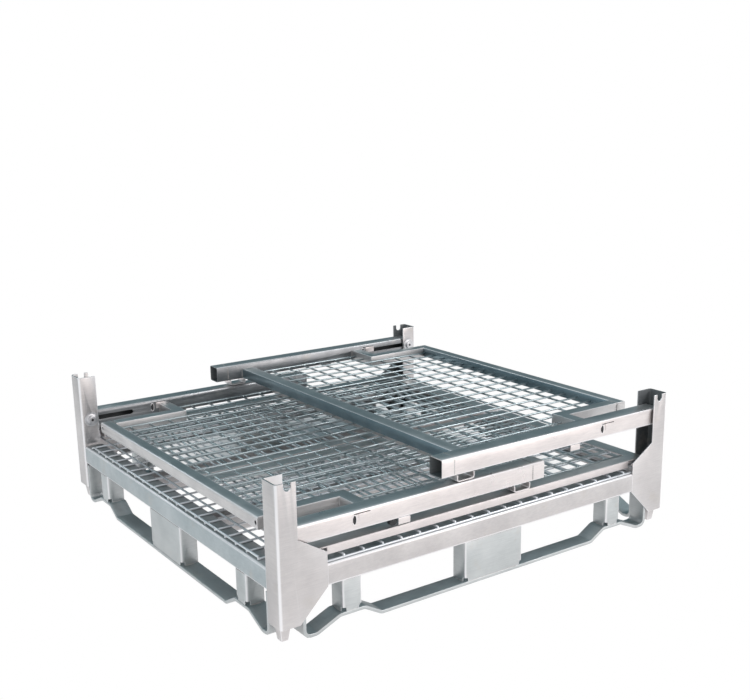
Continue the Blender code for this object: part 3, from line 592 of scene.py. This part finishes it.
def pivot_pin(node):
    low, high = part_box(node)
    side = -1 if low.y < 0 else 1
    length = high.y - low.y
    inner = outer_inner(side, low, high)[1]
    centre = Vector(((low.x + high.x) / 2, inner, (low.z + high.z) / 2))
    washer = (high.x - low.x) / 2
    top = COLLAR_TOP + WASHER_TOP
    profile = [
        *COLLAR,
        (washer - WASHER_EDGE, COLLAR_TOP), (washer, COLLAR_TOP + WASHER_SOFTENED),
        (washer, top - WASHER_SOFTENED), (washer - WASHER_BACK_EDGE, top),
        (SHANK_RADIUS, top), (SHANK_RADIUS, length - SHANK_CHAMFER),
        (SHANK_RADIUS - SHANK_CHAMFER, length),
    ]
    turn = -side * QUARTER_TURN
    pin = lathe(node + "_turned", profile, centre, turn)
    dress(pin, BODY_OF[node], "pin_steel")
    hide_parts(node)
    # painted shade: a dark plug in the pin's blind socket
    socket = lathe(node + "_socket_shade", SOCKET_SHADE, centre, turn)
    dress(socket, BODY_OF[node], "pin_steel", DARK)


for node in PIN_NODES:
    pivot_pin(node)

# ---------------------------------------------------------------- meshes
PITCH = 0.050
LONG_PITCH = 0.057
WIRE_TUCK = 0.001

# the floor: its edge wires, its first and last wires, and the corners cut out round the posts
FLOOR_EDGE_X, FLOOR_EDGE_Y = 0.0105, 0.0068
FLOOR_FIRST_X, FLOOR_LAST_X = 0.0116, 0.041
FLOOR_FIRST_Y, FLOOR_LAST_Y = 0.054, 0.044
FLOOR_CUT_X, FLOOR_CUT_Y = 0.065, 0.104
FLOOR_NEAR_POST = 0.060

# the end walls: rows along Y, then the first and last wire along X, and how far they lie low
WALL_ROWS = (-0.495, 0.515)
WALL_FIRST, WALL_LAST = 0.070, 0.012
WALL_DROP = 0.0123

# the side walls: how far the wires reach under the frame, and the first and last each way
SIDE_TUCK = 0.009
SIDE_FIRST_Y, SIDE_LAST_Y = 0.014, 0.006
SIDE_FIRST_X, SIDE_LAST_X = 0.020, 0.010
SIDE_SHEET, SIDE_SINK = 0.003, 0.0002


def steps(start, stop, pitch=PITCH):
    count = int((stop - start) / pitch + 1e-6)
    return [start + pitch * k for k in range(count + 1)]


def floor_wires():
    """The floor's wires. Those near the corners stop short of the posts."""
    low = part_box("floor_mesh")[0]
    edge_x, edge_y = -low.x - WIRE_TUCK, -low.y - WIRE_TUCK
    cut_x, cut_y = HALF_X - FLOOR_CUT_X, HALF_Y - FLOOR_CUT_Y
    near_x, near_y = HALF_X - FLOOR_NEAR_POST, HALF_Y - FLOOR_NEAR_POST
    side_x, side_y = HALF_X - FLOOR_EDGE_X, HALF_Y - FLOOR_EDGE_Y
    x_wires = []
    for y in [-side_y] + steps(-HALF_Y + FLOOR_FIRST_Y, HALF_Y - FLOOR_LAST_Y) + [side_y]:
        reach = cut_x if abs(y) > near_y else edge_x
        x_wires.append((y, -reach, reach))
    y_wires = []
    for x in steps(-HALF_X + FLOOR_FIRST_X, HALF_X - FLOOR_LAST_X) + [side_x]:
        reach = cut_y if abs(x) > near_x else edge_y
        y_wires.append((x, -reach, reach))
    base = low.z + WIRE_RADIUS
    wires = grille(
        "floor_wires", "base", x_wires, y_wires, base, x_on_top=False, look=FLOOR_WIRE_LOOK
    )
    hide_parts("floor_mesh")


def wall_wires(label, direction):
    """An end wall's wires, welded to the inner faces of its frame."""
    pivot = PIVOTS[label]
    reach_tube = -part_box(label + "_tube_front")[1].y + WIRE_TUCK
    stile_low, stile_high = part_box(label + "_stile_front")
    reach_stile = -stile_high.y + WIRE_TUCK
    bottom_low, bottom_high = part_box(label + "_bottom_rail")
    top_low, top_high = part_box(label + "_top_rail")

    def along(low, high):
        """The far face, seen from the hinge, as a distance from it."""
        return (high.x - pivot.x) if direction > 0 else (pivot.x - low.x)

    start = along(bottom_low, bottom_high) - WIRE_TUCK
    step = along(stile_low, stile_high) - WIRE_TUCK
    end = along(top_low, top_high) - (top_high.x - top_low.x) + WIRE_TUCK
    x_wires = []
    for y in steps(*WALL_ROWS):
        first = step if abs(y) > reach_stile else start
        x0, x1 = sorted((pivot.x + direction * first, pivot.x + direction * end))
        x_wires.append((y, x0, x1))
    y_wires = []
    for distance in steps(WALL_FIRST, end - WALL_LAST, LONG_PITCH):
        reach = reach_stile if distance < step else reach_tube
        y_wires.append((pivot.x + direction * distance, -reach, reach))
    wires = grille(label + "_wires", label, x_wires, y_wires, pivot.z - WALL_DROP)
    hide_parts(label + "_mesh")


def side_wires(label):
    """A side wall's wires, welded under its sheet frame."""
    low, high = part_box(label + "_mesh")
    frame_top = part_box(label + "_frame")[1].z
    x_wires = []
    for y in steps(low.y + SIDE_FIRST_Y, high.y - SIDE_LAST_Y):
        x_wires.append((y, low.x - SIDE_TUCK, high.x + SIDE_TUCK))
    y_wires = []
    for x in steps(low.x + SIDE_FIRST_X, high.x - SIDE_LAST_X):
        y_wires.append((x, low.y - SIDE_TUCK, high.y + SIDE_TUCK))
    base = frame_top - SIDE_SHEET - 3 * WIRE_RADIUS + SIDE_SINK
    wires = grille(label + "_wires", label, x_wires, y_wires, base)
    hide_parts(label + "_mesh")


floor_wires()
wall_wires("left_wall", 1)
wall_wires("right_wall", -1)
side_wires("front_wall")
side_wires("rear_wall")

# ---------------------------------------------------------------- welds
STUB_SEAM = 0.669
SEAM_SUNK = 0.0010
BEAD_INSET = 0.003
JOG_INSET = 0.002
RAIL_END_WELD = 0.030
BLOCK_SUNK, BLOCK_INSET = 0.001, 0.010
BLOCK_TOP_INSET, BLOCK_BOTTOM_INSET = 0.006, 0.014
POST_WEB, POST_EDGE, POST_INSIDE = 0.0075, 0.058, 0.046
POST_WELD_LOW, POST_WELD_GAP = 0.112, 0.004
FOOT_FACE, FOOT_MIDDLE, FOOT_HALF, FOOT_WELD = 0.0045, 0.029, 0.014, (0.040, 0.058)


def welds_of_wall(label, direction):
    """Beads where the tubes meet the rails and stiles of an end wall."""
    bm = bmesh.new()
    pivot = PIVOTS[label]
    top_low, top_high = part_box(label + "_top_rail")
    bottom_low, bottom_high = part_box(label + "_bottom_rail")
    rail_z = (top_low.z + BEAD_INSET, top_high.z - BEAD_INSET)
    seam = pivot.x + direction * STUB_SEAM
    seam_z = (pivot.z - TUBE_HALF, pivot.z + TUBE_HALF)
    for side, word in SIDES:
        tube_low, tube_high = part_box(f"{label}_tube_{word}")
        stile_low, stile_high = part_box(f"{label}_stile_{word}")
        outer, inner = outer_inner(side, tube_low, tube_high)
        jog_far = stile_high.x if direction > 0 else stile_low.x
        jog_near = jog_far - direction * (bottom_high.x - bottom_low.x)
        jog = (jog_near + direction * JOG_INSET, jog_far - direction * BEAD_INSET)
        rail_x = (top_low.x + BEAD_INSET, top_high.x - BEAD_INSET)
        for x in (top_low.x, top_high.x, jog_near, jog_far):
            weld_bead(bm, (x, inner, rail_z[0]), (x, inner, rail_z[1]))
        for z in (top_low.z, top_high.z):
            weld_bead(bm, (rail_x[0], inner, z), (rail_x[1], inner, z), THIN_BEAD)
            weld_bead(bm, (jog[0], inner, z), (jog[1], inner, z), THIN_BEAD)
        joint_x = bottom_high.x if direction > 0 else bottom_low.x
        end_y = side * bottom_high.y
        near_y = side * (bottom_high.y - RAIL_END_WELD)
        for z in (top_low.z, top_high.z):
            weld_bead(bm, (joint_x, end_y, z), (joint_x, near_y, z), THIN_BEAD)
        weld_bead(bm, (joint_x, end_y, rail_z[0]), (joint_x, end_y, rail_z[1]), FOOT_BEAD)
        for y in (outer - side * SEAM_SUNK, inner + side * SEAM_SUNK):
            weld_bead(bm, (seam, y, seam_z[0] + BEAD_INSET), (seam, y, seam_z[1] - BEAD_INSET))
        ends = (tube_low.y + BEAD_INSET, tube_high.y - BEAD_INSET)
        for z in (seam_z[0] + SEAM_SUNK, seam_z[1] - SEAM_SUNK):
            weld_bead(bm, (seam, ends[0], z), (seam, ends[1], z))
    obj = mesh_object(label + "_welds", bm)
    shade(obj.data, ROUND_ANGLE)
    dress(obj, label, "frame_steel", WELD_LOOK)


def welds_of_block(bm, node):
    """Beads along the top and the bottom of a folded block."""
    low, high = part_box(node)
    inset_low, inset_high = low + Vector.Fill(3, BLOCK_INSET), high - Vector.Fill(3, BLOCK_INSET)
    for z in (high.z, low.z):
        inset = BLOCK_TOP_INSET if z == high.z else BLOCK_BOTTOM_INSET
        if "front" in node or "rear" in node:
            y = low.y + BLOCK_SUNK if low.y < 0 else high.y - BLOCK_SUNK
            weld_bead(bm, (low.x + inset, y, z), (high.x - inset, y, z), THIN_BEAD)
            for x in (low.x, high.x):
                weld_bead(bm, (x, inset_low.y, z), (x, inset_high.y, z), BLOCK_BEAD)
        else:
            x = low.x + BLOCK_SUNK if low.x < 0 else high.x - BLOCK_SUNK
            weld_bead(bm, (x, low.y + inset, z), (x, high.y - inset, z), THIN_BEAD)
            for y in (low.y, high.y):
                weld_bead(bm, (inset_low.x, y, z), (inset_high.x, y, z), BLOCK_BEAD)


def welds_of_base():
    """Beads where the blocks meet the rails and runners, and where rails meet the posts."""
    bm = bmesh.new()
    for node in SLOT_OF:
        if "block" in node:
            welds_of_block(bm, node)
    for side in (-1, 1):
        for end in (-1, 1):
            x = end * (HALF_X - POST_WEB)
            y = side * (HALF_Y - POST_EDGE)
            inside = end * (HALF_X - POST_INSIDE)
            weld_bead(bm, (x, y, POST_WELD_LOW), (x, y, RAIL_TOP - POST_WELD_GAP), POST_BEAD)
            weld_bead(bm, (x, y, RAIL_TOP), (inside, y, RAIL_TOP), BLOCK_BEAD)
            foot_x = end * (HALF_X - FOOT_FACE)
            for offset in (-FOOT_HALF, FOOT_HALF):
                foot_y = side * (HALF_Y - FOOT_MIDDLE) + offset
                foot = [(foot_x, foot_y, z) for z in FOOT_WELD]
                weld_bead(bm, *foot, FOOT_BEAD)
    obj = mesh_object("base_welds", bm)
    shade(obj.data, ROUND_ANGLE)
    dress(obj, "base", "rail_steel", WELD_LOOK)


welds_of_wall("left_wall", 1)
welds_of_wall("right_wall", -1)
welds_of_base()

# ---------------------------------------------------------------- small fittings
CAPSULE_SIDES = 28

# latch marks: distance along the tube and rise above the pivot, then each piece's own sizes
MARKS = {"left_wall": (0.190, 0.002), "right_wall": (0.927, 0.000)}
INNER_MARK_SHIFT = 0.022
PLATE_X, PLATE_Z = (0.011, 0.043), (-0.005, 0.012)
PLATE_THICKNESS, PLATE_BEVEL = 0.0010, 0.0004
# the dark line along the plate's top and the dark slot are painted shade
SHADE_LINE_X, SHADE_LINE_Z = (-0.001, 0.040), (0.0115, 0.0135)
SLOT_HALF_X, SLOT_HALF_Z, SLOT_DEPTH = 0.0038, 0.0098, 0.0008
LIP_HALF_X, LIP_HALF_Z, LIP_RADIUS = 0.0050, 0.0112, 0.0013
LIP_START, LIP_SWEEP, LIP_STEPS, LIP_SIDES = math.radians(-150), math.radians(300), 28, 8

# tabs under the tubes, and a dark patch of painted shadow beside each of the left wall's tabs
TABS = {"left_wall": (0.304, 0.336), "right_wall": (0.820, 0.852)}
TAB_FACES = (0.0066, 0.0096)
TAB_HEIGHT, TAB_SUNK, TAB_BEVEL = 0.0145, 0.001, 0.0012
HOOK_SHADE_X, HOOK_SHADE_FACE, HOOK_SHADE_DEPTH, HOOK_SHADE_DROP = 0.292, 0.0085, 0.010, 0.0050
HOOK_SHADE_HALF_X, HOOK_SHADE_HALF_Z, HOOK_SHADE_BEVEL = 0.0105, 0.0085, 0.0010

# folded hems of the side walls, and rivets of the left posts
HEM_SUNK, HEM_RISE, HEM_LEG, HEM_BEVEL = 0.001, 0.0006, 0.062, 0.0005
HEM_TOP, HEM_BOTTOM = 0.0012, 0.0105
RIVET = (
    (0.0015, 0.0026), (0.0036, 0.0026), (0.0044, 0.0034), (0.0058, 0.0034), (0.0070, 0.0),
    (0.0070, -0.002),
)
RIVET_X, RIVET_Y, RIVET_Z = 0.028, 0.0535, 0.323


def left_x(distance):
    """X at a distance from the left end of the container."""
    return -HALF_X + distance


def plate(name, low, high, body, slot, width, look=None):
    bm = bmesh.new()
    box_mesh(bm, low, high)
    obj = mesh_object(name, bm)
    bevel(obj, width)
    dress(obj, body, slot, look)


def capsule(bm, centre, half_x, half_z, y0, y1):
    """A flat oval plug between two heights along Y."""
    rings = []
    for y in (y0, y1):
        verts = []
        for k in range(CAPSULE_SIDES):
            angle = 2 * math.pi * k / CAPSULE_SIDES
            x = centre[0] + half_x * math.cos(angle)
            verts.append(bm.verts.new((x, y, centre[1] + half_z * math.sin(angle))))
        rings.append(verts)
    skin(bm, rings)


def latch_mark(name, body, x, y, z, facing):
    """A punched slot with a raised lip, and a small blank plate beside it, on a tube's face.
    The slot and a line along the plate's top are dark plugs of painted shade.
    """
    y0, y1 = sorted((y, y + facing * PLATE_THICKNESS))
    low = (x + PLATE_X[0], y0, z + PLATE_Z[0])
    high = (x + PLATE_X[1], y1, z + PLATE_Z[1])
    plate(name + "_plate", low, high, body, "tube_steel", PLATE_BEVEL)

    # painted shade: the slot and the line above the plate are dark plugs on the face
    bm = bmesh.new()
    y0, y1 = sorted((y, y + facing * SLOT_DEPTH))
    low = (x + SHADE_LINE_X[0], y0, z + SHADE_LINE_Z[0])
    high = (x + SHADE_LINE_X[1], y1, z + SHADE_LINE_Z[1])
    box_mesh(bm, low, high)
    capsule(bm, (x, z), SLOT_HALF_X, SLOT_HALF_Z, y, y + facing * SLOT_DEPTH)
    obj = mesh_object(name + "_slot", bm)
    dress(obj, body, "tube_steel", DARK)

    bm = bmesh.new()
    rings = []
    for k in range(LIP_STEPS + 1):
        angle = LIP_START + LIP_SWEEP * k / LIP_STEPS
        outward = Vector((math.cos(angle), 0.0, math.sin(angle)))
        centre = Vector((x + LIP_HALF_X * outward.x, y, z + LIP_HALF_Z * outward.z))
        rings.append(ring(bm, centre, outward, Vector((0.0, 1.0, 0.0)), LIP_RADIUS, LIP_SIDES))
    skin(bm, rings)
    obj = mesh_object(name + "_lip", bm)
    shade(obj.data, ROUND_ANGLE)
    dress(obj, body, "tube_steel")


for label, (mark_x, mark_rise) in MARKS.items():
    mark_z = PIVOTS[label].z + mark_rise
    inner_x = left_x(mark_x + INNER_MARK_SHIFT)
    for side, word in SIDES:
        outer, inner = outer_inner(side, *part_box(f"{label}_tube_{word}"))
        latch_mark(f"{label}_mark_{word}", label, left_x(mark_x), outer, mark_z, side)
        latch_mark(f"{label}_inner_mark_{word}", label, inner_x, inner, mark_z, -side)

for label, (tab_start, tab_end) in TABS.items():
    under = PIVOTS[label].z - TUBE_HALF
    for side, word in SIDES:
        y0, y1 = sorted(side * (HALF_Y - face) for face in TAB_FACES)
        low = (left_x(tab_start), y0, under - TAB_HEIGHT)
        high = (left_x(tab_end), y1, under + TAB_SUNK)
        plate(f"{label}_tab_{word}", low, high, label, "tube_steel", TAB_BEVEL)

# painted shadow: a dark capsule beside each of the left wall's tabs
for side, word in SIDES:
    spot = (left_x(HOOK_SHADE_X), PIVOTS["left_wall"].z - TUBE_HALF - HOOK_SHADE_DROP)
    hook_shade_y = side * (HALF_Y - HOOK_SHADE_FACE)
    bm = bmesh.new()
    capsule(bm, spot, HOOK_SHADE_HALF_X, HOOK_SHADE_HALF_Z, hook_shade_y, hook_shade_y - side * HOOK_SHADE_DEPTH)
    hook = mesh_object("left_wall_hook_shade_" + word, bm)
    bevel(hook, HOOK_SHADE_BEVEL)
    dress(hook, "left_wall", "tube_steel", DARK)

for side, word in SIDES:
    frame_low, frame_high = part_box(word + "_wall_frame")
    face = outer_inner(side, frame_low, frame_high)[0]
    y0, y1 = sorted((face - side * HEM_SUNK, face + side * HEM_RISE))
    leg_end = frame_high.x - HEM_LEG
    low = (-leg_end, y0, frame_high.z - HEM_BOTTOM)
    high = (leg_end, y1, frame_high.z - HEM_TOP)
    body = word + "_wall"
    plate(body + "_hem", low, high, body, "frame_steel", HEM_BEVEL, SIDE_WALL_LOOK)

for side, word in SIDES:
    spot = Vector((left_x(RIVET_X), side * (HALF_Y - RIVET_Y), RIVET_Z))
    rivet = lathe("post_rivet_left_" + word, RIVET, spot, -side * QUARTER_TURN)
    dress(rivet, "base", "pin_steel")

# ---------------------------------------------------------------- studio
FLOOR_SIZE, FLOOR_GAP, FLOOR_ROUGHNESS = 30.0, 0.0005, 0.9
FLOOR_LIT, FLOOR_DARK = (0.55, 0.55, 0.55), (0.06, 0.075, 0.08)
FLOOR_GLOW, GLOW_COLOR = 0.60, (1.0, 0.975, 0.97)
SEEN_WHITE, SEEN_DARK = (*WHITE, 1.0), (0.33, 0.38, 0.40, 1.0)

# the soft shadow: axis, middle and reach, then the share that is full and how it fades
SHADE_SPREAD = (("X", 0.24, 0.55), ("Y", 0.44, 0.70))
SHADE_CORE, SHADE_FADE = 0.40, 1.1

SKY_RANGE = (-0.8, 0.7)
SKY_TONES = [(0.0, (0.92, 0.88, 0.87)), (0.5, (0.42, 0.50, 0.53)), (1.0, (0.11, 0.18, 0.205))]

# name, place, size, watts, colour; all of them aim at one point
LIGHTS = (
    ("key", (1.6, -4.2, 1.5), (3.0, 2.2), 34.0, (1.0, 0.95, 0.93)),
    ("fill", (-4.2, 0.6, 1.6), (2.6, 2.0), 18.0, (0.94, 0.98, 1.0)),
    ("top", (0.0, 0.6, 3.4), (2.4, 2.4), 8.0, (0.9, 0.97, 1.0)),
    ("edge_front", (2.4, -1.9, 2.6), (1.6, 1.0), 40.0, WHITE),
    ("edge_rear", (-1.1, 3.3, 2.3), (1.4, 0.8), 16.0, (0.95, 0.99, 1.0)),
)
LIGHT_TARGET = Vector((0.0, 0.0, 0.2))

CAMERA_AT = (-1.5506, -2.3462, 1.0787)
CAMERA_TILT = (75.1006, 0.4555, -36.3047)
SENSOR, LENS = 36.0, 51.84
SHIFT_X, SHIFT_Y = -0.0423, 0.0547
CLIP_END = 100.0


def shade_mask(tree):
    """1 on the open floor, falling to 0 in the soft, rounded shadow that lies to the rear."""
    axes = split_axes(tree, add_node(tree, "ShaderNodeTexCoord").outputs["Object"])
    total = 0.0
    for axis, middle, reach in SHADE_SPREAD:
        offset = math_node(tree, "SUBTRACT", axes[axis], middle)
        offset = math_node(tree, "DIVIDE", offset, reach)
        square = math_node(tree, "MULTIPLY", offset, offset)
        fourth = math_node(tree, "MULTIPLY", square, square)
        total = math_node(tree, "ADD", fourth, total)
    distance = math_node(tree, "POWER", total, 0.25)
    open_floor = spread(tree, distance, 0.0, 1.0, SHADE_CORE, 1.0)
    return math_node(tree, "POWER", open_floor, SHADE_FADE)


def studio_floor():
    """A pale floor with a soft shadow painted on it, which stays where it is in every view.

    Looked at directly it is plain white outside the shadow; the container is lit by a greyer,
    faintly glowing one.
    """
    bm = bmesh.new()
    bmesh.ops.create_grid(bm, x_segments=1, y_segments=1, size=FLOOR_SIZE)
    obj = mesh_object("studio_floor", bm)
    obj.location.z = -FLOOR_GAP
    mat = bpy.data.materials.new("studio_white")
    tree, shader = node_tree(mat)
    open_floor = shade_mask(tree)
    tree.links.new(mix(tree, open_floor, FLOOR_DARK, FLOOR_LIT), shader.inputs["Base Color"])
    shader.inputs["Roughness"].default_value = FLOOR_ROUGHNESS
    shader.inputs["Emission Color"].default_value = (*GLOW_COLOR, 1.0)
    glow = math_node(tree, "MULTIPLY", open_floor, FLOOR_GLOW)
    tree.links.new(glow, shader.inputs["Emission Strength"])
    shadow = add_node(tree, "ShaderNodeBsdfDiffuse", {"Color": SEEN_DARK})
    white = add_node(tree, "ShaderNodeEmission", {"Color": SEEN_WHITE})
    seen = add_node(tree, "ShaderNodeMixShader")
    tree.links.new(open_floor, seen.inputs["Fac"])
    tree.links.new(shadow.outputs["BSDF"], seen.inputs[1])
    tree.links.new(white.outputs["Emission"], seen.inputs[2])
    shown_to_camera(tree, shader.outputs["BSDF"], seen.outputs["Shader"], "Material Output")
    obj.data.materials.append(mat)


def sky():
    """Dim teal overhead and behind, brighter in front, and white where the camera sees it."""
    world = bpy.data.worlds.new("studio")
    bpy.context.scene.world = world
    world.use_nodes = True
    tree = world.node_tree
    room = tree.nodes["Background"]
    axes = split_axes(tree, add_node(tree, "ShaderNodeTexCoord").outputs["Generated"])
    depth = spread(tree, axes["Y"], 0.0, 1.0, *SKY_RANGE)
    tree.links.new(ramp(tree, depth, SKY_TONES), room.inputs["Color"])
    plain = add_node(tree, "ShaderNodeBackground", {"Color": SEEN_WHITE})
    outputs = (room.outputs["Background"], plain.outputs["Background"])
    shown_to_camera(tree, *outputs, "World Output")


def soft_box(name, location, size, power, color):
    light = bpy.data.lights.new(name, "AREA")
    light.shape = "RECTANGLE"
    light.size, light.size_y = size
    light.energy = power
    light.color = color
    obj = add_object(name, light)
    obj.location = location
    aim = LIGHT_TARGET - Vector(location)
    obj.rotation_euler = aim.to_track_quat("-Z", "Y").to_euler()


def camera():
    data = bpy.data.cameras.new("camera")
    data.sensor_width = SENSOR
    data.lens = LENS
    data.shift_x = SHIFT_X
    data.shift_y = SHIFT_Y
    data.clip_end = CLIP_END
    obj = add_object("camera", data)
    obj.location = CAMERA_AT
    obj.rotation_euler = Euler([math.radians(angle) for angle in CAMERA_TILT])
    bpy.context.scene.camera = obj


studio_floor()
sky()
for settings in LIGHTS:
    soft_box(*settings)
camera()

scene = bpy.context.scene
scene.view_settings.view_transform = "Standard"
scene.view_settings.look = "None"
